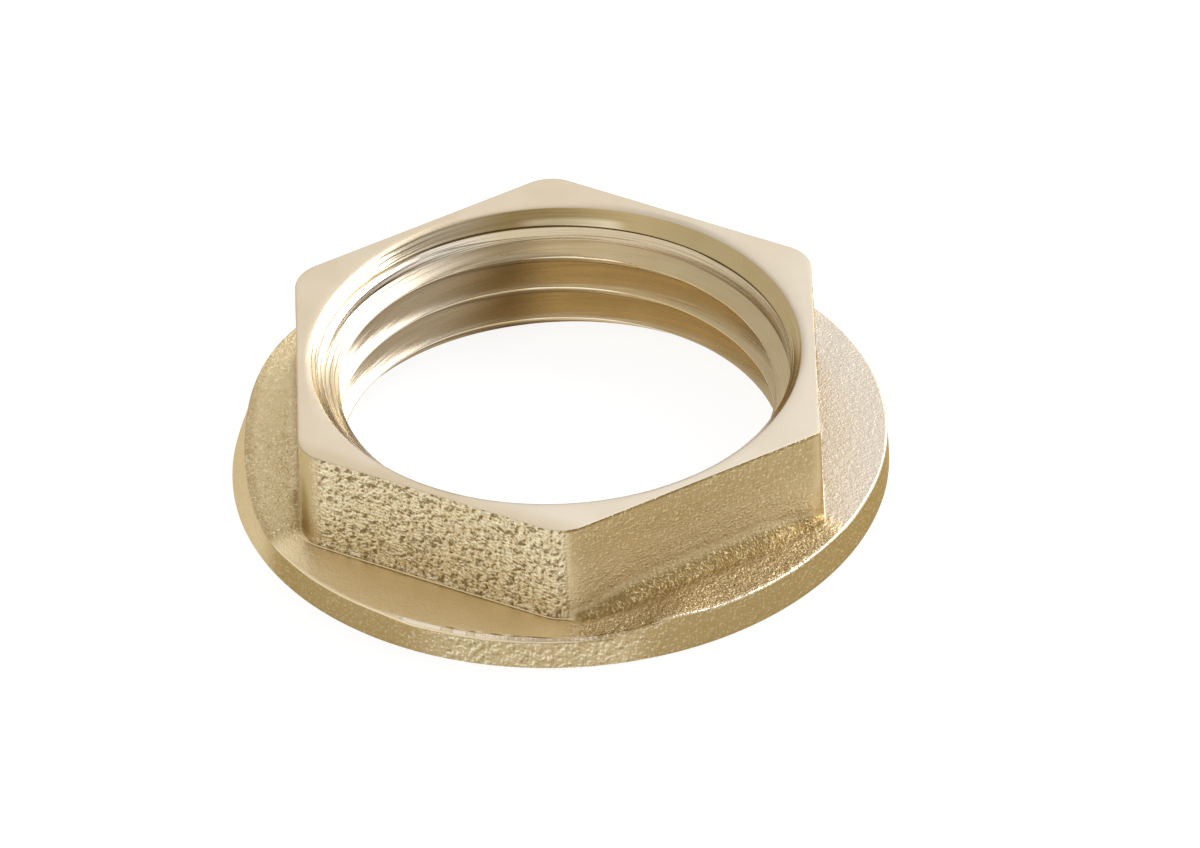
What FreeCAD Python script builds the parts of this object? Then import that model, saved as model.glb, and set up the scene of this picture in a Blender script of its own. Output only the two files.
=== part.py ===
import FreeCAD, Part
import math
import os

# Flanged hexagon lock nut for a 3/8 inch pipe thread, hot forged in brass as one piece and then
# faced and tapped. Millimetres. Z is the thread axis. The flange's underside is at z = 0, and two
# of the hexagon's corners lie on the Y axis, so that two flats face along X.

# Hexagon
across_flats = 18.0                # spanner size, at the top face
nut_height = 5.0                   # underside to top face
flat_draft_deg = 0.6               # the flats lean out towards the flange, to leave the die
corner_radius = 1.35               # along the six upright corners
root_fillet = 0.35                 # where the flats run into the flange

# Flange
flange_diameter = 22.9             # at the underside
flange_thickness = 1.4
rim_draft_deg = 2.0                # the rim leans in towards its top edge
rim_top_radius = 0.15
rim_bottom_chamfer = 0.12          # broken edge left by facing the underside

# Threaded hole: its wall stands at the crests of the thread
thread_crest_diameter = 15.1       # 14.950 to 15.395 for this thread
countersink_diameter = 17.2        # at the top face, just over the thread's 16.662 outside
back_countersink_diameter = 16.8   # at the underside
countersink_angle_deg = 90.0       # included angle of both countersinks

crest_radius = thread_crest_diameter / 2
flange_radius = flange_diameter / 2
rim_lean = math.radians(rim_draft_deg)
countersink_slope = math.tan(math.radians(countersink_angle_deg / 2))
top_countersink_depth = (countersink_diameter / 2 - crest_radius) / countersink_slope
back_countersink_depth = (back_countersink_diameter / 2 - crest_radius) / countersink_slope
hole_overrun = 1.0                 # how far the hole's cutter reaches past both faces
same_level = 0.001                 # heights closer than this are one level


def section_point(radius, height):
    return FreeCAD.Vector(radius, 0, height)


def straight_edges(points):
    return [Part.makeLine(start, end) for start, end in zip(points, points[1:])]


def revolve_section(edges):
    face = Part.Face(Part.Wire(edges))
    return face.revolve(FreeCAD.Vector(0, 0, 0), FreeCAD.Vector(0, 0, 1), 360)


# One hexagon outline, with two corners on the Y axis
def hexagon(width, height):
    corner_distance = width / 2 / math.cos(math.radians(30))
    corners = []
    for step in range(7):
        angle = math.radians(90 + 60 * step)
        x = corner_distance * math.cos(angle)
        y = corner_distance * math.sin(angle)
        corners.append(FreeCAD.Vector(x, y, height))
    return Part.makePolygon(corners)


# The hexagon starts at the underside, inside the flange, so that the two fuse cleanly
def make_hexagon():
    width_at_underside = across_flats + 2 * nut_height * math.tan(math.radians(flat_draft_deg))
    outlines = [hexagon(width_at_underside, 0), hexagon(across_flats, nut_height)]
    prism = Part.makeLoft(outlines, True, True)
    upright_edges = [edge for edge in prism.Edges if edge.BoundBox.ZLength > nut_height / 2]
    return prism.makeFillet(corner_radius, upright_edges)


# A round plate with a drafted rim, rounded along its top edge and broken along its bottom edge
def make_flange():
    top_corner_radius = flange_radius - flange_thickness * math.tan(rim_lean)
    tangent_length = rim_top_radius * math.tan((math.pi / 2 - rim_lean) / 2)
    rounding_start = section_point(
        top_corner_radius + tangent_length * math.sin(rim_lean),
        flange_thickness - tangent_length * math.cos(rim_lean))
    rounding_end = section_point(top_corner_radius - tangent_length, flange_thickness)
    middle_angle = (rim_lean + math.pi / 2) / 2
    rounding_middle = section_point(
        rounding_end.x + rim_top_radius * math.cos(middle_angle),
        rounding_end.z - rim_top_radius + rim_top_radius * math.sin(middle_angle))
    underside_edge = section_point(flange_radius - rim_bottom_chamfer, 0)
    rim_foot = section_point(
        flange_radius - rim_bottom_chamfer * math.tan(rim_lean), rim_bottom_chamfer)
    axis_bottom = section_point(0, 0)
    axis_top = section_point(0, flange_thickness)
    lower = straight_edges([axis_bottom, underside_edge, rim_foot, rounding_start])
    rounding = Part.Arc(rounding_start, rounding_middle, rounding_end).toShape()
    upper = straight_edges([rounding_end, axis_top, axis_bottom])
    return revolve_section(lower + [rounding] + upper)


# The hole's cutter: a countersink at each end, and the wall of the thread crests between them
def make_hole():
    reach_gain = hole_overrun * countersink_slope
    points = [
        section_point(0, -hole_overrun),
        section_point(back_countersink_diameter / 2 + reach_gain, -hole_overrun),
        section_point(crest_radius, back_countersink_depth),
        section_point(crest_radius, nut_height - top_countersink_depth),
        section_point(countersink_diameter / 2 + reach_gain, nut_height + hole_overrun),
        section_point(0, nut_height + hole_overrun),
        section_point(0, -hole_overrun)]
    return revolve_section(straight_edges(points))


# The edges where the hexagon stands on the flange; the rim's own edges are centred on the axis
def root_edges(body):
    found = []
    for edge in body.Edges:
        box = edge.BoundBox
        on_flange_top = box.ZLength < same_level and abs(box.ZMin - flange_thickness) < same_level
        middle = edge.CenterOfMass
        off_axis = math.hypot(middle.x, middle.y) > crest_radius
        if on_flange_top and off_axis:
            found.append(edge)
    return found


def make_lock_nut():
    body = make_flange().fuse(make_hexagon()).removeSplitter()
    body = body.makeFillet(root_fillet, root_edges(body))
    return body.cut(make_hole()).removeSplitter()


os.makedirs("parts", exist_ok=True)
lock_nut = make_lock_nut()
lock_nut.exportStep("parts/lock_nut.step")
print("lock_nut valid", lock_nut.isValid(), "solids", len(lock_nut.Solids), "faces", len(lock_nut.Faces))
print("volume in cubic mm", round(lock_nut.Volume, 2))
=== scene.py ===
import math

import bmesh
import bpy
from mathutils import Matrix, Vector, noise


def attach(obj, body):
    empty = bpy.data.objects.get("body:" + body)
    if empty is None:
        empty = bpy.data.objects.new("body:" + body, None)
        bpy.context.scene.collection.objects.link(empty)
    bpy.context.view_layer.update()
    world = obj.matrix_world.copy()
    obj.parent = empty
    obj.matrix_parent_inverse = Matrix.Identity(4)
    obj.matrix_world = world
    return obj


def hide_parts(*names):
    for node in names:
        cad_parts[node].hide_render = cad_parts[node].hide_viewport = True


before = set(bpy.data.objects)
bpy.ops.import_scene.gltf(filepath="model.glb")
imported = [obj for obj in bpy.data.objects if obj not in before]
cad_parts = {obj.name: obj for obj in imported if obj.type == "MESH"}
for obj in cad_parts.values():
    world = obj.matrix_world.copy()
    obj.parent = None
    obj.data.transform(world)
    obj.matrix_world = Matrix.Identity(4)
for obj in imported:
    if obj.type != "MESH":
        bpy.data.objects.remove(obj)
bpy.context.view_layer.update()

scene = bpy.context.scene
print("frame loaded:", sorted(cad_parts))


# small helpers

def clamped(value):
    return min(1.0, max(0.0, value))


def ramp(value, low, high):
    t = clamped((value - low) / (high - low))
    return t * t * (3 - 2 * t)


def window(value, low, high, soft):
    return ramp(value, low - soft, low + soft) * (1 - ramp(value, high - soft, high + soft))


def hill(value, centre, width):
    return math.exp(-((value - centre) / width) ** 2)


def ripple(point, size, seed=0.0):  # smooth noise from -1 to 1, with lumps of that size
    return noise.noise(point / size + Vector((seed, 3.1 * seed, -seed)))


def fromAxis(spot):
    return math.hypot(spot.x, spot.y)


def addObject(name, data):
    obj = bpy.data.objects.new(name, data)
    scene.collection.objects.link(obj)
    return obj


def meshFrom(bm, name):
    mesh = bpy.data.meshes.new(name)
    bm.to_mesh(mesh)
    bm.free()
    return mesh


def drawLoop(bm, points):
    verts = [bm.verts.new(point) for point in points]
    for a, b in zip(verts, verts[1:] + verts[:1]):
        bm.edges.new((a, b))
    return verts


def roundCorner(bm, vert, rounding, segments):
    bmesh.ops.bevel(bm, geom=[vert], offset=rounding, offset_type="OFFSET", affect="VERTICES",
                    segments=segments, profile=0.5, material=-1)


def spinRound(bm, angle, steps, **options):
    bmesh.ops.spin(bm, geom=bm.verts[:] + bm.edges[:], axis=(0, 0, 1), cent=(0, 0, 0),
                   angle=angle, steps=steps, **options)


def copyVerts(bm, parts):  # copies the parts, and gives the vertices of the copy
    made = bmesh.ops.duplicate(bm, geom=parts)["geom"]
    return [part for part in made if isinstance(part, bmesh.types.BMVert)]


# the nut's skin, in millimetres until the nut is whole

finishIndex = {"blasted": 0, "faced": 1, "turned": 2, "tapped": 3, "bored": 4, "shadedNotch": 5}
nut = {
    "apothem": 9.0,            # axis to flat, at the top face
    "flatLean": 0.0105,        # the flats lean out towards the flange
    "height": 5.0,
    "cornerRounds": [1.35, 1.35, 1.35, 1.45, 0.25, 1.40],  # from the +Y corner, anticlockwise
    "topEdgeRound": 0.05,
    "footRound": 0.40,
    "footOut": 1.4,            # how far out and up a larger fillet moves the mesh
    "footUp": 2.4,
    "flangeRadius": 11.45,
    "flangeTop": 1.4,
    "rimLean": 0.05,
    "rimRound": 0.06,
    "rimBand": 0.42,           # ring along the rim's top edge, with a finer mesh
    "rimChamfer": 0.12,
    "sinkRadius": 8.6,         # countersink at the top face
    "sinkEdgeRound": 0.16,
    "backSinkRadius": 8.4,     # countersink at the underside
    "backEdgeRound": 0.03,
    "crestRadius": 7.55,       # inside the thread's crests
    "columns": 540,            # round the axis, a multiple of 6
}
nut["flatFoot"] = nut["apothem"] + nut["flatLean"] * (nut["height"] - nut["flangeTop"])
nut["footEnd"] = nut["flatFoot"] + nut["footRound"]
nut["rimTop"] = nut["flangeRadius"] - nut["rimLean"]
nut["rimStart"] = nut["rimTop"] - nut["rimRound"]
meshStep = {"underside": 0.6, "topFace": 0.045, "sides": 0.075, "rimBand": 0.03, "countersink": 0.2}


# length of the mesh's steps along an edge of the section
def stepAt(middle):
    if middle.x < nut["sinkRadius"] - 0.1:
        return meshStep["countersink"]
    if middle.x > nut["rimTop"] - nut["rimBand"] and middle.z > nut["flangeTop"] - 0.01:
        return meshStep["rimBand"]
    if middle.z < 0.01:
        return meshStep["underside"]
    return meshStep["topFace"] if middle.z > nut["height"] - 0.01 else meshStep["sides"]


# the section through the middle of a flat
def drawSection(bm):
    corners = [                # radius, height, rounding, segments
        (nut["crestRadius"], nut["backSinkRadius"] - nut["crestRadius"], 0, 0),
        (nut["crestRadius"], nut["height"] - nut["sinkRadius"] + nut["crestRadius"], 0, 0),
        (nut["sinkRadius"], nut["height"], nut["sinkEdgeRound"], 6),
        (nut["apothem"], nut["height"], nut["topEdgeRound"], 3),
        (nut["flatFoot"], nut["flangeTop"], nut["footRound"], 9),
        (nut["rimTop"] - nut["rimBand"], nut["flangeTop"], 0, 0),
        (nut["rimTop"], nut["flangeTop"], nut["rimRound"], 6),
        (nut["flangeRadius"], 0, nut["rimChamfer"], 2),
        (nut["backSinkRadius"], 0, nut["backEdgeRound"], 2),
    ]
    verts = drawLoop(bm, [(radius, 0, height) for radius, height, _, _ in corners])
    for vert, (_, _, rounding, segments) in zip(verts, corners):
        if rounding:
            roundCorner(bm, vert, rounding, segments)
    for edge in list(bm.edges):
        middle = (edge.verts[0].co + edge.verts[1].co) / 2
        if middle.x < nut["crestRadius"] + 0.01:
            continue           # the wall that the thread is cut into
        cuts = math.ceil(edge.calc_length() / stepAt(middle)) - 1
        if cuts > 0:
            bmesh.ops.subdivide_edges(bm, edges=[edge], cuts=cuts)


# distance from the axis to the hexagon, with its corners rounded
def hexRadius(azimuth):
    apothem = nut["apothem"]
    cornerToFlat = math.radians(30)
    fromBack = math.degrees(azimuth) - 90
    corner = nut["cornerRounds"][round(fromBack / 60) % 6]
    fromCorner = math.radians(abs((fromBack + 30) % 60 - 30))
    fromFlat = cornerToFlat - fromCorner
    if math.tan(fromFlat) * apothem < (apothem - corner) * math.tan(cornerToFlat):
        return apothem / math.cos(fromFlat)
    centre = (apothem - corner) / math.cos(cornerToFlat)
    return centre * math.cos(fromCorner) + math.sqrt(corner ** 2 - (centre * math.sin(fromCorner)) ** 2)


# parts of the nut's round: first and last turn, and how softly they end; a turn is in degrees from the
# front corner, and positive towards the right
zones = {
    "frontLeftFlat": (-57.0, 1.0, 1.5),
    "frontRightFlat": (0.8, 59, 1.2),
    "rightFlat": (60, 120, 1.0),
    "leftCorner": (-63, -56, 1.5),
    "frontRightFoot": (2, 60.5, 1.5),
    "rightCornerFoot": (54, 60.5, 1.5),
    "leftCornerFoot": (-75, -57, 3),
    "wideFillet": (8, 52, 6),
    "tightFillet": (59, 125, 2),
    "frontFlange": (-62, 1, 3),
    "leftCornerFlange": (-95, -61, 3),
    "leftEdge": (-115, -35, 10),
    "footLine": (-58, 1, 2),
    "notBack": (-140, 140, 10),
    "roughRim": (-26, 16, 7),
    "rightRim": (16, 120, 8),
    "wornRim": (-108, -72, 16),
    "flash": (-31, 8, 4),
    "scratches": (-20, 15, 3),
    # where the painted highlight runs along the rim's edge
    "frontEdgeHighlight": (-31, 6, 4),
    "leftEdgeHighlight": (-58, -33, 3),
    "rightEdgeHighlight": (15, 118, 2),
    "raggedEdgeHighlight": (17, 66, 3),
}


def inZone(turn, name):
    return window(turn, *zones[name])


# traces of the die and of wear, in millimetres: the flange is low on the front left, with a swelling where
# the front turns to the right, and the rim's top edge is worn back on the left
forging = {
    "flangeLevel": -0.13,
    "flangeRises": [(0.16, -5, 28), (-0.05, 65, 90), (0.15, -72, -120)],  # height, first and last turn
    "swellings": [(0.17, 19.5, 5), (-0.05, 6, 7)],  # height, turn, width
    "crispFoot": -0.75,        # changes of the fillet, as shares of it
    "wideFoot": 1.0,
    "tightFoot": -0.9,
    "lip": 0.06,               # under the front left flat
    "uneven": 0.018,
    "flash": 0.080,            # drop of the slope along the front of the rim
    "flashStart": -0.13,
    "flashWidth": 0.12,
    "scratch": 0.05,           # depth of the scratches behind the flash
    "scratchAt": -0.19,
    "rimWear": 0.42,
    "rimRelief": 0.01,         # keeps the lumps of the rim inside its circle
}


def flangeRise(turn, outward):
    rise = forging["flangeLevel"]
    for amount, start, end in forging["flangeRises"]:
        rise += amount * ramp(turn, start, end)
    return rise + outward * sum(amount * hill(turn, at, width) for amount, at, width in forging["swellings"])


# finish of the skin, with painted light and shade in its tone: grain goes from 0, smooth, to 1, coarse, and
# tone is brown below 0, gold at 0, straw at 0.5, pale at 1 and white at 1.5; much of the tone is painted light
# and shade, lighter where the lamps fall and darker in creases

# tones of the flats, painted light and shade: the front left flat lighter and the front right darker, with its
# lower part lighter and its top edge darker; the right flat darker, less so higher up; a painted shadow line
# and a darker strip at the left corner
flats = {
    "grain": 0.6,
    "frontRightGrain": -0.15,
    "tone": 0.27,
    "frontRight": -0.175,
    "frontLeft": 0.12,
    "lowerHalf": 0.10,         # on the front right
    "foot": 0.09,
    "topEdge": -0.9,
    "right": -0.9,
    "rightUpper": 0.6,
    "leftCornerLine": -0.35,
    "leftCorner": -0.08,
}
# tones of the flange, painted light and shade: pale on the right, where the side lamp falls, and lighter on the
# front, the left and the back; lighter on the front right, less so towards the rim; a painted shadow line along
# the foot of the front left flat; darker towards the rim on the left
flange = {
    "grain": 0.75,
    "frontGrain": -0.6,
    "rightGrain": -0.38,
    "leftGrain": -0.25,
    "leftCornerGrain": 0.17,
    "frontRightGrain": -0.12,
    "frontRightFootGrain": -0.2,
    "front": 0.50,
    "right": 1.0,
    "left": 0.27,
    "back": 0.25,
    "frontRight": 0.29,
    "frontRightEdge": -0.11,
    "footLine": -0.5,
    "leftEdge": -0.08,
}
rim = {"grain": 0.28, "roughGrain": 0.47, "rough": 0.19, "left": 0.30, "right": -0.2}
# painted highlight along the rim's edge and painted shade in the scratches behind it
paintedEdgeLightAndShade = {                       # places across the rim's edge, below 0 on the flange and above 0 on the side
    "front": (-0.14, 0.02, 0.02),
    "left": (-0.08, 0.04),
    "right": (-0.04, 0.06),
    "ragged": (-0.17, 0.01, 0.03),
    "leftShare": 0.35,
    "rightShare": 0.8,
    "tone": 1.5,
    "scratchWidth": 0.045,
    "scratchShadeTone": -1.6,
}


# darker where the flats run into the flange
def footShade(turn, downFoot):
    shade = 0.75 * inZone(turn, "frontRightFoot") * hill(downFoot, 0.12, 0.19)
    shade += 0.6 * inZone(turn, "rightCornerFoot") * hill(downFoot, 0.2, 0.25)
    return shade + 0.25 * inZone(turn, "leftCornerFoot") * hill(downFoot, 0.15, 0.2)


def leftSide(turn):
    return ramp(turn, -178, -122) * (1 - ramp(turn, -68, -56))


def rightSide(turn, radius):
    wander = 3 * ripple(Vector((0.2 * turn, radius, 0)), 0.25, 4)
    return ramp(turn + wander, 56.5, 60.5) * (1 - ramp(turn, 112, 165))


def flatFinishAndPaintedLight(turn, height, shade):
    frontLeft = inZone(turn, "frontLeftFlat")
    frontRight = inZone(turn, "frontRightFlat")
    fromCorner = abs((turn + 30) % 60 - 30)
    blast = flats["grain"] + flats["frontRightGrain"] * frontRight
    grain = max(blast * ramp(fromCorner, 0.5, 3.0), frontLeft)
    foot = flats["lowerHalf"] * (1 - ramp(height, 2.5, 4.2)) + flats["foot"] * (1 - ramp(height, 2.0, 2.6))
    edge = flats["topEdge"] * ramp(height, 4.93, 4.96)
    # painted light and shade on the flats
    tone = flats["tone"] + flats["frontRight"] * frontRight + flats["frontLeft"] * frontLeft
    tone += frontRight * (foot + edge) - shade
    tone += (flats["rightUpper"] * ramp(height, 2.4, 3.2) + flats["right"]) * inZone(turn, "rightFlat")
    tone += flats["leftCornerLine"] * hill(turn, -60.6, 1.3) * (1 - ramp(height, 2.2, 4.2))
    return grain, tone + flats["leftCorner"] * inZone(turn, "leftCorner")


def flangeFinishAndPaintedLight(turn, radius, shade):
    footEnd, rimTop = nut["footEnd"], nut["rimTop"]
    front = inZone(turn, "frontFlange")
    frontRight = inZone(turn, "frontRightFlat")
    right, left = rightSide(turn, radius), leftSide(turn)
    outward = ramp(radius, footEnd - 0.3, nut["rimStart"])
    atFoot = 1 - ramp(radius, footEnd - 0.1, footEnd + 0.5)
    grain = flange["grain"] + flange["frontGrain"] * front + flange["rightGrain"] * right
    grain += flange["leftGrain"] * left + flange["leftCornerGrain"] * inZone(turn, "leftCornerFlange")
    grain += frontRight * (flange["frontRightGrain"] + flange["frontRightFootGrain"] * atFoot)
    # painted light and shade on the flange
    tone = flange["front"] * front + flange["right"] * right + flange["left"] * left
    tone += flange["back"] * (1 - inZone(turn, "notBack"))
    tone += frontRight * (1 - right) * (flange["frontRight"] + flange["frontRightEdge"] * outward) - shade
    tone += flange["footLine"] * inZone(turn, "footLine") * hill(radius, footEnd, 0.06)
    tone += flange["leftEdge"] * inZone(turn, "leftEdge") * ramp(radius, rimTop - 0.5, rimTop - 0.2)
    return grain, tone


def rimFinish(turn):
    rough = inZone(turn, "roughRim")
    tone = rim["rough"] * rough + rim["left"] * leftSide(turn) + rim["right"] * inZone(turn, "rightRim")
    return rim["grain"] + rim["roughGrain"] * rough, tone


# painted highlight along the rim's edge, broken up, and painted shade in the dashed scratches behind it
def paintEdgeLightAndShade(turn, along, tone):
    place = Vector((0.2 * turn, 0, 0))             # millimetres round the rim
    broken = clamped(0.75 + 1.2 * ripple(place, 0.45, 2))
    ragged = max(0, 0.5 + 1.2 * ripple(place, 0.3, 11))
    dashes = clamped(0.5 + 2 * ripple(place, 0.5, 7))
    paintedHighlight = inZone(turn, "frontEdgeHighlight") * window(along, *paintedEdgeLightAndShade["front"]) * broken
    paintedHighlight += paintedEdgeLightAndShade["leftShare"] * inZone(turn, "leftEdgeHighlight") * hill(along, *paintedEdgeLightAndShade["left"]) * broken
    paintedHighlight += paintedEdgeLightAndShade["rightShare"] * inZone(turn, "rightEdgeHighlight") * hill(along, *paintedEdgeLightAndShade["right"]) * broken
    paintedHighlight += inZone(turn, "raggedEdgeHighlight") * window(along, *paintedEdgeLightAndShade["ragged"]) * ragged
    paintedHighlight = ramp(paintedHighlight, 0.3, 0.5)
    scratchShade = inZone(turn, "scratches") * hill(along, forging["scratchAt"], paintedEdgeLightAndShade["scratchWidth"]) * dashes
    return tone + paintedHighlight * (paintedEdgeLightAndShade["tone"] - tone) + paintedEdgeLightAndShade["scratchShadeTone"] * scratchShade


# from the flange's top, over the rim's edge and down its side
def alongRim(radius, height):
    return radius - nut["rimTop"] + nut["flangeTop"] - height


# grain of the skin, and its tone with painted light and shade
def skinFinishAndPaintedLight(turn, radius, height):
    top, flatFoot = nut["flangeTop"], nut["flatFoot"]
    shade = footShade(turn, radius - flatFoot + top - height)
    onFrontFillet = -59 < turn < 61 and height > top + 0.10
    if height > top and (radius < flatFoot + 0.02 or onFrontFillet):
        return flatFinishAndPaintedLight(turn, height, shade)
    grain, tone = flangeFinishAndPaintedLight(turn, radius, shade) if height > top - 0.1 else rimFinish(turn)
    return grain, paintEdgeLightAndShade(turn, alongRim(radius, height), tone)


# makes the foot's fillet larger or smaller, and takes up the change before the far end
def stretched(distance, scale, far):
    foot = nut["footRound"]
    if distance <= 0:
        return distance
    if distance <= foot:
        return distance * scale
    return foot * scale + (distance - foot) * (far - foot * scale) / (far - foot)


# out to the hexagon: all the way on the flats, less and less across the top face and the flange
def hexPush(azimuth, radius, height):
    if height > nut["height"] - 0.1:
        flatTop = nut["apothem"] - nut["topEdgeRound"]
        share = (radius - nut["sinkRadius"]) / (flatTop - nut["sinkRadius"])
    else:
        share = (nut["rimStart"] - radius) / (nut["rimStart"] - nut["footEnd"])
    return clamped(share) * (hexRadius(azimuth) - nut["apothem"])


# crisp foot with a lip under the front left flat, soft fillet elsewhere
def shapeFoot(turn, radius, height):
    top, flatFoot = nut["flangeTop"], nut["flatFoot"]
    crisp = ramp(turn, -74, -57) * (1 - ramp(turn, -0.5, 2.5))
    scale = 1 + forging["crispFoot"] * crisp + forging["wideFoot"] * inZone(turn, "wideFillet")
    scale += forging["tightFoot"] * inZone(turn, "tightFillet")
    if top - 0.001 < height < top + nut["footUp"] and radius < flatFoot + nut["footOut"]:
        radius = flatFoot + stretched(radius - flatFoot, scale, nut["footOut"])
        height = top + stretched(height - top, scale, nut["footUp"])
        radius += forging["lip"] * crisp * hill(height, top + 0.10, 0.09)
    return radius, height


# flash along the front of the rim: a narrow slope, with broken scratches behind it
def flashDrop(turn, along, spot):
    flash = inZone(turn, "flash") * (0.95 + 0.3 * ripple(spot, 0.5, 5))
    drop = forging["flash"] * flash * clamped((along - forging["flashStart"]) / forging["flashWidth"])
    scratch = inZone(turn, "scratches") * max(0, 0.5 + ripple(spot, 0.4, 9))
    return drop + forging["scratch"] * scratch * hill(along, forging["scratchAt"], 0.035)


def shapeSkin(bm):
    grainLayer = bm.verts.layers.float.new("grain")
    toneLayer = bm.verts.layers.float.new("tone")
    top = nut["flangeTop"]
    for vert in bm.verts:
        spot = vert.co.copy()
        radius, height = fromAxis(spot), spot.z
        if radius < nut["sinkRadius"] - 0.02 or height < 0.001:
            continue           # the hole and the underside
        azimuth = math.atan2(spot.y, spot.x)
        turn = (math.degrees(azimuth) + 270) % 360 - 180
        vert[grainLayer], vert[toneLayer] = skinFinishAndPaintedLight(turn, radius, height)
        push = hexPush(azimuth, radius, height)
        radius, height = shapeFoot(turn, radius, height)
        outward = ramp(radius, nut["footEnd"], nut["rimTop"])
        if radius > nut["rimTop"] - 0.5 and height > top - 0.4:
            height -= flashDrop(turn, alongRim(radius, height), spot)
        wear = forging["rimWear"] * inZone(turn, "wornRim")
        radius -= wear * (outward if height > top - 0.01 else ramp(height, 0.1, top))
        height += flangeRise(turn, outward) * ramp(height, 0.2, 1.3) * (1 - ramp(height, 1.5, 2.8))
        radius += push
        if spot.z < nut["height"] - 0.01:
            rough = forging["uneven"] * (ripple(spot, 2.0) + 0.6 * vert[grainLayer] * ripple(spot, 0.5, 2))
            if abs(spot.z - top) < 0.001:
                height += rough
            else:
                radius += rough * ramp(spot.z, 0.0, 0.3) - (forging["rimRelief"] if spot.z < top else 0)
        vert.co = Vector((radius * math.cos(azimuth), radius * math.sin(azimuth), height))


def makeSkin():
    bm = bmesh.new()
    drawSection(bm)
    sixth = math.radians(60)
    spinRound(bm, sixth, nut["columns"] // 6)
    first = bm.verts[:] + bm.edges[:] + bm.faces[:]
    for count in range(1, 6):
        bmesh.ops.rotate(bm, verts=copyVerts(bm, first), cent=(0, 0, 0),
                         matrix=Matrix.Rotation(count * sixth, 3, "Z"))
    bmesh.ops.remove_doubles(bm, verts=bm.verts, dist=0.0005)
    bmesh.ops.recalc_face_normals(bm, faces=bm.faces)
    for face in bm.faces:
        middle = face.calc_center_median()
        face.smooth = True
        radius = fromAxis(middle)
        if radius < nut["sinkRadius"] and 0.001 < middle.z < nut["height"] - 0.09:
            face.material_index = finishIndex["turned"]
        elif middle.z > nut["height"] - 0.01 or middle.z < 0.01 or radius < nut["sinkRadius"] + 0.1:
            face.material_index = finishIndex["faced"]
    shapeSkin(bm)
    return meshFrom(bm, "lock_nut_skin")


# the thread's groove, as a solid that winds up through the hole

thread = {
    "pitch": 1.337,            # 19 to the inch
    "flankAngle": 27.5,
    "rootRadius": 8.48,
    "firstRootRadius": 8.09,   # the first turn is cut less deep
    "firstCut": (-178, -105),  # degrees from the back between which it gets shallower
    "crestFlat": 0.07,
    "crestGap": 0.003,         # how far the cutter stays inside the crests
    "cutterDepth": 0.25,       # and how far it reaches into the hole
    "grooveAtBack": 0.165,     # height of a groove's middle on the +Y side
    "turns": 6,
    "steps": 180,              # for each turn
    "crestRound": 0.021,       # worn edge of the crests
    "rootRound": 0.10,
}


def degreesFromBack(spot):
    return (math.degrees(math.atan2(spot.y, spot.x)) + 90) % 360 - 180


def turnsAboveCrest(spot):  # above the uppermost full crest
    return (spot.z - thread["grooveAtBack"]) / thread["pitch"] - 2.5 - degreesFromBack(spot) / 360


def drawGroove(bm):
    root, crest = thread["rootRadius"], nut["crestRadius"]
    half = (thread["pitch"] - thread["crestFlat"]) / 2
    rootHalf = half - (root - crest) * math.tan(math.radians(thread["flankAngle"]))
    lip = thread["crestFlat"] / 2 - 0.002
    low = thread["grooveAtBack"] - thread["pitch"]
    inside, edge = crest - thread["cutterDepth"], crest - thread["crestGap"]
    outline = [                # radius, height above the groove's middle, rounding
        (inside, -half - lip, 0),
        (edge, -half - lip, 0),
        (edge, -half, thread["crestRound"]),
        (root, -rootHalf, thread["rootRound"]),
        (root, rootHalf, thread["rootRound"]),
        (edge, half, thread["crestRound"]),
        (edge, half + lip, 0),
        (inside, half + lip, 0),
    ]
    loop = drawLoop(bm, [(0, radius, low + height) for radius, height, _ in outline])
    for vert, (_, _, rounding) in zip(loop, outline):
        if rounding:
            roundCorner(bm, vert, rounding, 5)
    outside = [edge for edge in bm.edges if min(vert.co.y for vert in edge.verts) > crest]
    bmesh.ops.subdivide_edges(bm, edges=[edge for edge in outside if edge.calc_length() > 0.3], cuts=5)


def makeGroove():
    bm = bmesh.new()
    drawGroove(bm)
    pitch, steps, shallow = thread["pitch"], thread["steps"], thread["firstRootRadius"]
    spinRound(bm, 2 * math.pi, steps, dvec=(0, 0, pitch / steps))
    first = bm.verts[:] + bm.edges[:] + bm.faces[:]
    for count in range(1, thread["turns"]):
        bmesh.ops.translate(bm, verts=copyVerts(bm, first), vec=(0, 0, count * pitch))
    bmesh.ops.remove_doubles(bm, verts=bm.verts, dist=0.0005)
    bmesh.ops.holes_fill(bm, edges=[edge for edge in bm.edges if edge.is_boundary], sides=0)
    for vert in bm.verts:
        above = turnsAboveCrest(vert.co)
        if above > 0:          # the cut gets shallower little by little, at the front
            limit = shallow
            if above < 1:
                deepShare = 1 - ramp(degreesFromBack(vert.co), *thread["firstCut"])
                limit += (thread["rootRadius"] - shallow) * deepShare
            vert.co.xy *= min(1, limit / fromAxis(vert.co))
    bmesh.ops.recalc_face_normals(bm, faces=bm.faces)
    for face in bm.faces:
        middle = face.calc_center_median()
        face.smooth = True
        onWall = fromAxis(middle) > shallow - 0.02 and turnsAboveCrest(middle) > 0
        face.material_index = finishIndex["bored" if onWall else "tapped"]
    return meshFrom(bm, "thread_groove")


# a shallow bore between the countersink and the thread

mouth = {
    "radius": 8.24,
    "depth": 0.45,
    "leftRise": 0.33,          # it is shallower on the left
    "shift": (-0.10, -0.15),   # off the axis
    "notch": 0.07,             # tool mark under its upper edge
    "notchWider": 0.005,       # share by which the notch is wider on the right
    "inside": 7.2,             # inner radius of the cutter
}


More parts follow.
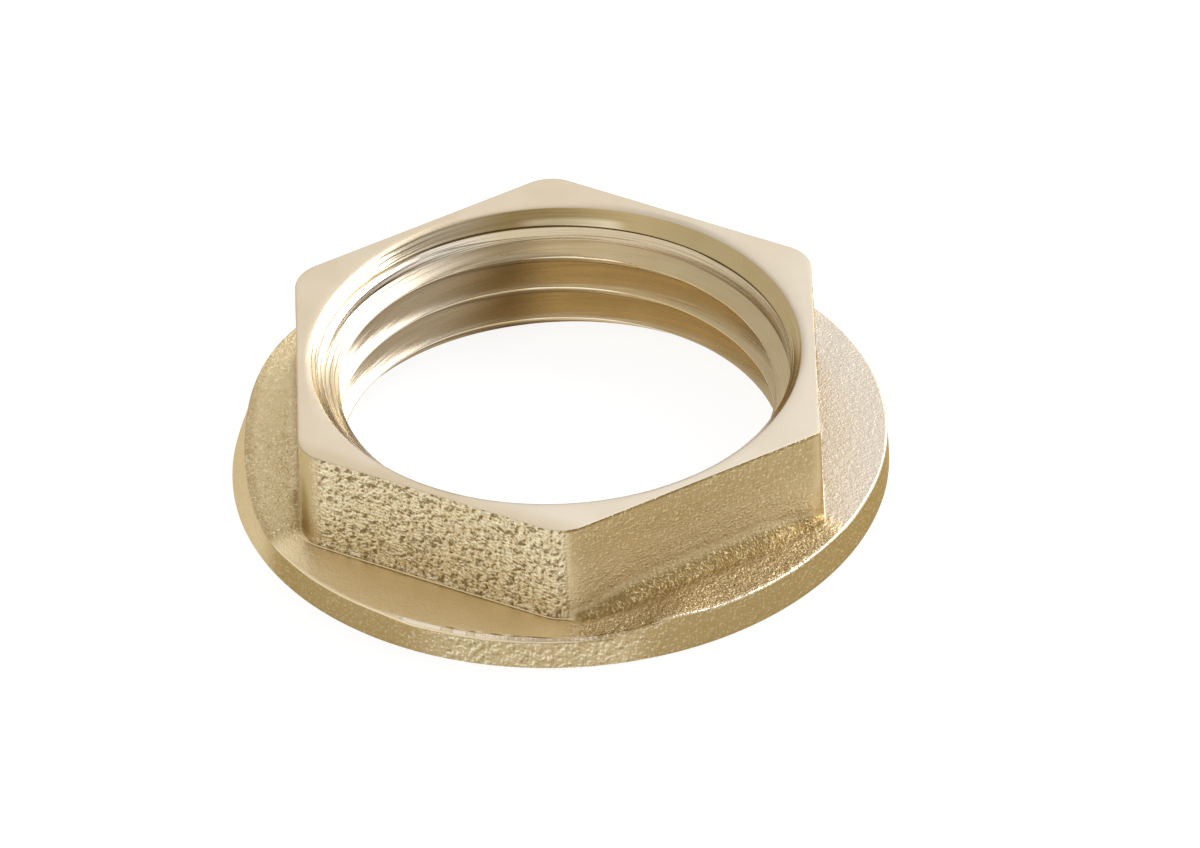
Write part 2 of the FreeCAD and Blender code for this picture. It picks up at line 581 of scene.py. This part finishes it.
def makeMouth():
    radius, depth, inside, shift = mouth["radius"], mouth["depth"], mouth["inside"], mouth["shift"]
    edge = nut["height"] - nut["sinkRadius"] + radius  # where it meets the countersink
    outline = [                # radius, height above that edge
        (inside, inside - radius - depth),
        (radius, -depth),
        (radius, -0.10),
        (radius + mouth["notch"], -0.05),
        (radius + 0.01, -0.01),
        (radius - 0.3, 0.3),
        (inside, 0.3),
    ]
    bm = bmesh.new()
    drawLoop(bm, [(0, far, edge + height) for far, height in outline])
    spinRound(bm, 2 * math.pi, thread["steps"], use_merge=True)
    for vert in bm.verts:      # the edge stays on the countersink all the way round
        if vert.co.z < edge - 0.2:
            vert.co.z += mouth["leftRise"] * ramp(-vert.co.x, 1.0, 6.5)
        if fromAxis(vert.co) > radius + 0.02:
            vert.co.xy *= 1 + mouth["notchWider"] * ramp(vert.co.x, 0.0, 6.0)
        vert.co.z += (vert.co.x * shift[0] + vert.co.y * shift[1]) / radius
    bmesh.ops.translate(bm, verts=bm.verts, vec=(*shift, 0))
    bmesh.ops.recalc_face_normals(bm, faces=bm.faces)
    for face in bm.faces:
        middle = face.calc_center_median()
        face.smooth = True
        # painted shade: faces in the notch take the dark brass
        inNotch = math.hypot(middle.x - shift[0], middle.y - shift[1]) > radius + 0.01
        face.material_index = finishIndex["shadedNotch" if inNotch else "bored"]
    return meshFrom(bm, "thread_mouth")


# nodes for the materials

def startMaterial(name):
    material = bpy.data.materials.new(name)
    material.use_nodes = True
    return material, material.node_tree, material.node_tree.nodes["Principled BSDF"]


def startBrass(name):
    material, tree, shader = startMaterial(name)
    shader.inputs["Metallic"].default_value = 1
    return material, tree, shader


def fillSocket(tree, socket, value):
    if isinstance(value, bpy.types.NodeSocket):
        tree.links.new(value, socket)
    else:
        socket.default_value = value


def addNode(tree, kind, inputs=None, **settings):
    node = tree.nodes.new("ShaderNode" + kind)
    for key, value in settings.items():
        setattr(node, key, value)
    for key, value in (inputs or {}).items():
        fillSocket(tree, node.inputs[key], value)
    return node


def math2(tree, operation, a, b):
    return addNode(tree, "Math", {0: a, 1: b}, operation=operation).outputs[0]


def plus(tree, a, b):
    return math2(tree, "ADD", a, b)


def minus(tree, a, b):
    return math2(tree, "SUBTRACT", a, b)


def times(tree, a, b):
    return math2(tree, "MULTIPLY", a, b)


def mapped(tree, value, low, high, newLow, newHigh):
    inputs = {"Value": value, "From Min": low, "From Max": high, "To Min": newLow, "To Max": newHigh}
    return addNode(tree, "MapRange", inputs, interpolation_type="SMOOTHSTEP").outputs["Result"]


def blend(tree, factor, a, b):
    return addNode(tree, "Mix", {0: factor, 6: a, 7: b}, data_type="RGBA").outputs[2]


def reach(tree, place, direction):  # how far a place lies in that direction
    return addNode(tree, "VectorMath", {0: place, 1: direction}, operation="DOT_PRODUCT").outputs["Value"]


def inMillimetres(tree, stretch=(1, 1, 1)):
    place = addNode(tree, "TexCoord").outputs["Object"]
    return addNode(tree, "Mapping", {"Vector": place, "Scale": [1000 * s for s in stretch]}).outputs["Vector"]


def lumps(tree, place, perMm, detail=2.0, rough=0.5):
    inputs = {"Vector": place, "Scale": perMm, "Detail": detail, "Roughness": rough}
    return addNode(tree, "TexNoise", inputs).outputs["Fac"]


def setRelief(tree, shader, height):  # height in millimetres
    lift = addNode(tree, "Bump", {"Height": height, "Strength": 1.0, "Distance": 0.001})
    tree.links.new(lift.outputs["Normal"], shader.inputs["Normal"])


# blasted brass, for the flats, the flange and the rim

blasted = {
    "gold": (0.40, 0.285, 0.12, 1),
    "tan": (0.45, 0.33, 0.15, 1),
    "straw": (0.93, 0.785, 0.52, 1),
    "pale": (0.72, 0.65, 0.56, 1),
    # colour of the painted highlight along the rim's edge
    "highlightWhite": (1.0, 0.85, 0.66, 1),
    # colour of the painted shade where the tone falls below 0
    "brown": (0.24, 0.155, 0.055, 1),
    # colours of the painted shade in the pits and on the dark sides of the lumps
    "pitShade": (0.265, 0.185, 0.075, 1),
    "palePitShade": (0.46, 0.39, 0.30, 1),
    # colour of the painted highlight on the lit sides of the lumps
    "litPeak": (1.0, 0.93, 0.70, 1),
    "edgeTint": (0.70, 0.60, 0.42, 1),
    "roughness": (0.36, 0.55),
    "highlightLineRoughness": 0.45,     # share of it that the painted highlight line along the rim's edge keeps
    "coarse": (4.2, 1.5, 0.5),  # lumps to the millimetre, detail, roughness
    "fine": (11.0, 2.0, 0.6),
    "pits": (2.8, 2.0, 0.6),
    "pitStretch": (1, 1, 1.6),
    "shadeShift": (0.05, 0.0, -0.09),  # each lump is lit on one side
    "coarseRelief": (0.05, 0.17),
    "fineRelief": 0.06,
    "pitDepth": 0.03,
}


def makeBlasted():
    material, tree, shader = startBrass("blastedBrass")
    shader.inputs["Specular Tint"].default_value = blasted["edgeTint"]
    grain = addNode(tree, "Attribute", attribute_name="grain").outputs["Fac"]
    tone = addNode(tree, "Attribute", attribute_name="tone").outputs["Fac"]
    place = inMillimetres(tree)
    beside = addNode(tree, "Mapping", {"Vector": place, "Location": blasted["shadeShift"]}).outputs["Vector"]

    # painted light and shade: a painted highlight on the lit side of each lump, painted shade on its dark side
    # and in the pits, which are also sunk a little
    coarse = lumps(tree, place, *blasted["coarse"])
    fine = lumps(tree, place, *blasted["fine"])
    coarseShade = minus(tree, coarse, lumps(tree, beside, *blasted["coarse"]))
    fineShade = minus(tree, fine, lumps(tree, beside, *blasted["fine"]))
    coarseShade = times(tree, coarseShade, mapped(tree, grain, 0.6, 0.95, 0.15, 0.8))
    shade = plus(tree, coarseShade, times(tree, fineShade, 0.35))
    strength = times(tree, grain, mapped(tree, tone, 0.8, 1.0, 1.0, 0.4))
    low = times(tree, mapped(tree, shade, -0.03, -0.15, 0.0, 0.9), strength)
    high = times(tree, mapped(tree, shade, 0.01, 0.10, 0.0, 1.0), strength)
    pitting = lumps(tree, inMillimetres(tree, blasted["pitStretch"]), *blasted["pits"])
    pitting = mapped(tree, pitting, 0.42, 0.33, 0.0, 1.0)
    deep = times(tree, pitting, mapped(tree, grain, 0.92, 1.0, 0.0, 0.7))

    tint = blend(tree, lumps(tree, place, 0.5, 3.0), blasted["gold"], blasted["tan"])
    for start, end, colour in ((0.0, 0.5, "straw"), (0.5, 1.0, "pale"), (1.0, 1.5, "highlightWhite")):
        tint = blend(tree, mapped(tree, tone, start, end, 0.0, 1.0), tint, blasted[colour])
    tint = blend(tree, times(tree, tone, -1.0), tint, blasted["brown"])
    tint = blend(tree, high, tint, blasted["litPeak"])
    pitShade = blend(tree, mapped(tree, tone, 0.7, 1.0, 0.0, 1.0), blasted["pitShade"], blasted["palePitShade"])
    tint = blend(tree, math2(tree, "MAXIMUM", low, deep), tint, pitShade)
    tree.links.new(tint, shader.inputs["Base Color"])

    onHighlightLine = mapped(tree, tone, 1.0, 1.5, 1.0, blasted["highlightLineRoughness"])
    rough = times(tree, mapped(tree, fine, 0.3, 0.7, *blasted["roughness"]), onHighlightLine)
    tree.links.new(rough, shader.inputs["Roughness"])
    relief = times(tree, coarse, mapped(tree, grain, 0.6, 0.95, *blasted["coarseRelief"]))
    relief = plus(tree, relief, times(tree, fine, blasted["fineRelief"]))
    relief = times(tree, relief, plus(tree, grain, 0.1))
    setRelief(tree, shader, minus(tree, relief, times(tree, deep, blasted["pitDepth"])))
    return material


# faced brass, for the top face and the underside

faced = {
    "warm": (0.64, 0.525, 0.36, 1),
    "pale": (0.78, 0.695, 0.57, 1),
    # painted light: paler from the back left to the front right, where the lamps fall; painted shade along the
    # edge next to the front left flat
    "litShare": (0.34, 0.86),  # from the back left to the front right
    "clouds": (-0.08, 0.12),
    "shadedEdgeSide": (-0.5, -0.866, 0),  # towards the front left flat
    "edgeShadeShare": 0.6,
    "roughness": (0.30, 0.40),
    "relief": 0.004,
}


def makeFaced():
    material, tree, shader = startBrass("facedBrass")
    place = inMillimetres(tree)
    across = addNode(tree, "SeparateXYZ", {"Vector": place}).outputs
    toRight = minus(tree, across["X"], across["Y"])
    clouds = mapped(tree, lumps(tree, place, 0.6, 3.0), 0.3, 0.7, *faced["clouds"])
    # painted light across the top face, and painted shade along its front left edge
    share = plus(tree, mapped(tree, toRight, -12.0, 12.0, *faced["litShare"]), clouds)
    shadedEdgeSide = mapped(tree, reach(tree, place, faced["shadedEdgeSide"]), 8.0, 8.9, 0.0, faced["edgeShadeShare"])
    tint = blend(tree, minus(tree, share, shadedEdgeSide), faced["warm"], faced["pale"])
    tree.links.new(tint, shader.inputs["Base Color"])
    fine = lumps(tree, place, 14.0, 2.0)
    tree.links.new(mapped(tree, fine, 0.3, 0.7, *faced["roughness"]), shader.inputs["Roughness"])
    setRelief(tree, shader, times(tree, fine, faced["relief"]))
    return material


# turned brass: the countersinks, the tapped thread, the bored mouth and its notch; three shares say how much
# each takes of the painted highlight on the hole's left, the painted shade at its back left and the painted
# highlight in an arc at the back of the countersink

turned = {"gold": (0.58, 0.43, 0.20, 1), "tan": (0.66, 0.52, 0.28, 1), "roughness": (0.16, 0.30),
          "paintedHighlight": 0.7, "backShade": 0.0, "arcHighlight": 1.0}
tapped = {"gold": (0.57, 0.435, 0.245, 1), "tan": (0.655, 0.52, 0.31, 1), "roughness": (0.20, 0.34),
          "paintedHighlight": 0.5, "backShade": 1.0, "arcHighlight": 0.0}
bored = {"gold": (0.62, 0.51, 0.33, 1), "tan": (0.70, 0.59, 0.42, 1), "roughness": (0.20, 0.34),
         "paintedHighlight": 1.0, "backShade": 0.0, "arcHighlight": 0.0}
# painted shade: the notch under the mouth's edge is dark brass
shadedNotch = {"gold": (0.30, 0.22, 0.10, 1), "tan": (0.36, 0.27, 0.14, 1), "roughness": (0.30, 0.40),
           "paintedHighlight": 0.0, "backShade": 0.0, "arcHighlight": 0.0}
hole = {
    "lineTint": (0.15, 0.12, 0.075, 1),  # tool marks on the left
    "lineSpacing": 0.12,
    # painted highlight on the hole's left, painted shade at its back left and a painted highlight in an arc
    "highlightTint": (0.90, 0.85, 0.76, 1),
    "highlightSide": (-0.819, 0.574, 0),
    "backShadeTint": (0.42, 0.32, 0.185, 1),
    "arcHighlightTint": (1.0, 0.88, 0.62, 1),
    "arcMiddle": 0.7,
    "ringStretch": (0.02, 0.02, 1),
    "ringRelief": 0.012,
}


def makeTurned(name, colours):
    material, tree, shader = startBrass(name)
    place = inMillimetres(tree)
    across = addNode(tree, "SeparateXYZ", {"Vector": place}).outputs
    toLeft = reach(tree, place, hole["highlightSide"])

    # tool marks: lines that follow the countersink round the left of the hole
    flatPlace = inMillimetres(tree, (1, 1, 0))
    axisDistance = addNode(tree, "VectorMath", {0: flatPlace}, operation="LENGTH").outputs["Value"]
    wander = times(tree, lumps(tree, place, 0.9, 2.0), 0.16)
    slope = plus(tree, plus(tree, axisDistance, across["Z"]), wander)
    lines = mapped(tree, math2(tree, "PINGPONG", slope, hole["lineSpacing"]), 0.04, 0.015, 0.0, 1.0)
    lines = times(tree, lines, mapped(tree, across["X"], -2.5, -6.5, 0.0, 1.0))
    lines = times(tree, lines, mapped(tree, across["Z"], 3.75, 3.9, 0.0, 1.0))
    lines = times(tree, lines, mapped(tree, toLeft, 6.0, 7.8, 0.5, 0.97))

    # painted shade at the back left of the hole, a painted highlight arc at the back of the countersink and a
    # painted highlight on the left
    atBack = mapped(tree, across["Y"], 2.0, 5.0, 0.0, 1.0)
    backShade = times(tree, atBack, mapped(tree, across["X"], -1.7, 0.3, 1.0, 0.0))
    besideArc = math2(tree, "ABSOLUTE", minus(tree, across["X"], hole["arcMiddle"]), 0.0)
    arcHighlight = mapped(tree, besideArc, 1.2, 2.1, 1.0, 0.0)
    arcHighlight = times(tree, arcHighlight, mapped(tree, across["Z"], 4.60, 4.72, 1.0, 0.0))
    paintedHighlight = mapped(tree, toLeft, 5.8, 7.6, 0.0, 0.9)
    tint = blend(tree, lumps(tree, place, 0.8, 3.0), colours["gold"], colours["tan"])
    tint = blend(tree, times(tree, backShade, colours["backShade"]), tint, hole["backShadeTint"])
    tint = blend(tree, times(tree, times(tree, arcHighlight, atBack), colours["arcHighlight"]), tint, hole["arcHighlightTint"])
    tint = blend(tree, times(tree, paintedHighlight, colours["paintedHighlight"]), tint, hole["highlightTint"])
    tree.links.new(blend(tree, lines, tint, hole["lineTint"]), shader.inputs["Base Color"])

    rings = lumps(tree, inMillimetres(tree, hole["ringStretch"]), 13.0, 1.0, 0.6)
    tree.links.new(mapped(tree, rings, 0.3, 0.7, *colours["roughness"]), shader.inputs["Roughness"])
    setRelief(tree, shader, times(tree, rings, hole["ringRelief"]))
    return material


# put the nut together

finishes = [makeBlasted(), makeFaced(), makeTurned("turnedBrass", turned), makeTurned("tappedBrass", tapped),
            makeTurned("boredBrass", bored), makeTurned("shadedNotchBrass", shadedNotch)]  # in the order of finishIndex
skin = addObject("lock_nut_visual", makeSkin())
cutters = [addObject("thread_groove", makeGroove()), addObject("thread_mouth", makeMouth())]
for obj in [skin] + cutters:
    for material in finishes:
        obj.data.materials.append(material)
print("skin, groove and mouth made")
for cutter in cutters:
    cut = skin.modifiers.new(cutter.name, "BOOLEAN")
    cut.operation = "DIFFERENCE"
    cut.solver = "EXACT"
    cut.object = cutter
threaded = bpy.data.meshes.new_from_object(skin.evaluated_get(bpy.context.evaluated_depsgraph_get()))
skin.modifiers.clear()
skin.data = threaded
for cutter in cutters:
    bpy.data.objects.remove(cutter)
threaded.transform(Matrix.Scale(0.001, 4))  # to metres
threaded.set_sharp_from_angle(angle=math.radians(32))
triangles = sum(len(polygon.vertices) - 2 for polygon in threaded.polygons)
print("nut:", len(threaded.vertices), "vertices,", triangles, "triangles")
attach(skin, "root")
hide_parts("lock_nut")


# floor, light and camera

backdrop = {"size": 3.0, "colour": (0.24, 0.24, 0.24, 1), "roughness": 0.9, "seenStrength": 0.87}


def makeFloor():
    bm = bmesh.new()
    bmesh.ops.create_grid(bm, x_segments=1, y_segments=1, size=backdrop["size"])
    floor = addObject("floor", meshFrom(bm, "floor"))
    material, tree, shader = startMaterial("paleFloor")
    shader.inputs["Base Color"].default_value = backdrop["colour"]
    shader.inputs["Roughness"].default_value = backdrop["roughness"]
    shader.inputs["Specular IOR Level"].default_value = 0.0
    path = addNode(tree, "LightPath").outputs
    seen = math2(tree, "MAXIMUM", path["Is Camera Ray"], path["Is Glossy Ray"])
    seen = math2(tree, "MAXIMUM", seen, path["Is Transmission Ray"])
    shader.inputs["Emission Color"].default_value = (1, 1, 1, 1)
    tree.links.new(times(tree, seen, backdrop["seenStrength"]), shader.inputs["Emission Strength"])
    floor.data.materials.append(material)


softboxes = [                  # name, place, width, height, radiance
    ("softboxBack", (0.0, 0.48, 0.40), 0.60, 0.35, 0.15),
    ("softboxRight", (0.475, 0.22, 0.25), 0.46, 0.40, 4.0),
    ("softboxHigh", (0.33, 0.28, 0.42), 0.26, 0.26, 3.0),
]


def addSoftbox(name, place, width, height, radiance):
    light = bpy.data.lights.new(name, "AREA")
    light.shape = "RECTANGLE"
    light.size = width
    light.size_y = height
    light.energy = radiance * math.pi * width * height
    obj = addObject(name, light)
    obj.location = place
    obj.rotation_euler = Vector(place).to_track_quat("Z", "Y").to_euler()
    obj.visible_camera = False


studio = {                     # darker and warmer beside the camera, and a little darker on the left
    "cameraSide": (0.45, -0.74, 0.50),
    "strength": (0.92, 0.38),
    "warmth": (1.0, 0.90, 0.74, 1),
    "leftSide": (-0.90, 0.20, 0.39),
    "leftStrength": 0.75,
}


def makeWorld():
    world = bpy.data.worlds.new("studio")
    world.use_nodes = True
    tree = world.node_tree
    background = tree.nodes["Background"].inputs
    towards = addNode(tree, "TexCoord").outputs["Generated"]
    facing = reach(tree, towards, studio["cameraSide"])
    leftward = reach(tree, towards, studio["leftSide"])
    strength = mapped(tree, facing, 0.45, 0.92, *studio["strength"])
    strength = times(tree, strength, mapped(tree, leftward, 0.4, 0.9, 1.0, studio["leftStrength"]))
    tree.links.new(strength, background["Strength"])
    warm = mapped(tree, facing, 0.45, 0.92, 0.0, 1.0)
    tree.links.new(blend(tree, warm, (1, 1, 1, 1), studio["warmth"]), background["Color"])
    scene.world = world


view = {                       # degrees, millimetres for the lens, and metres
    "elevation": 37.18,
    "roll": -2.283,
    "lens": 546.9,
    "sensorWidth": 36,
    "distance": 0.6344,
    "aside": 0.001362,
    "above": 0.001500,
}


def makeCamera():
    elevation = math.radians(view["elevation"])
    roll = math.radians(view["roll"])
    back = Vector((0, -math.cos(elevation), math.sin(elevation)))
    right = Vector((1, 0, 0))
    up = Vector((0, math.sin(elevation), math.cos(elevation)))
    side = math.cos(roll) * right + math.sin(roll) * up
    top = -math.sin(roll) * right + math.cos(roll) * up
    camera = bpy.data.cameras.new("camera")
    camera.sensor_width = view["sensorWidth"]
    camera.lens = view["lens"]
    camera.clip_start = 0.01
    obj = addObject("camera", camera)
    turn = Matrix((side, top, back)).transposed().to_4x4()
    place = back * view["distance"] + side * view["aside"] + top * view["above"]
    obj.matrix_world = Matrix.Translation(place) @ turn
    scene.camera = obj


makeFloor()
for softbox in softboxes:
    addSoftbox(*softbox)
makeWorld()
makeCamera()
scene.view_settings.view_transform = "Standard"
print("floor, light and camera set")
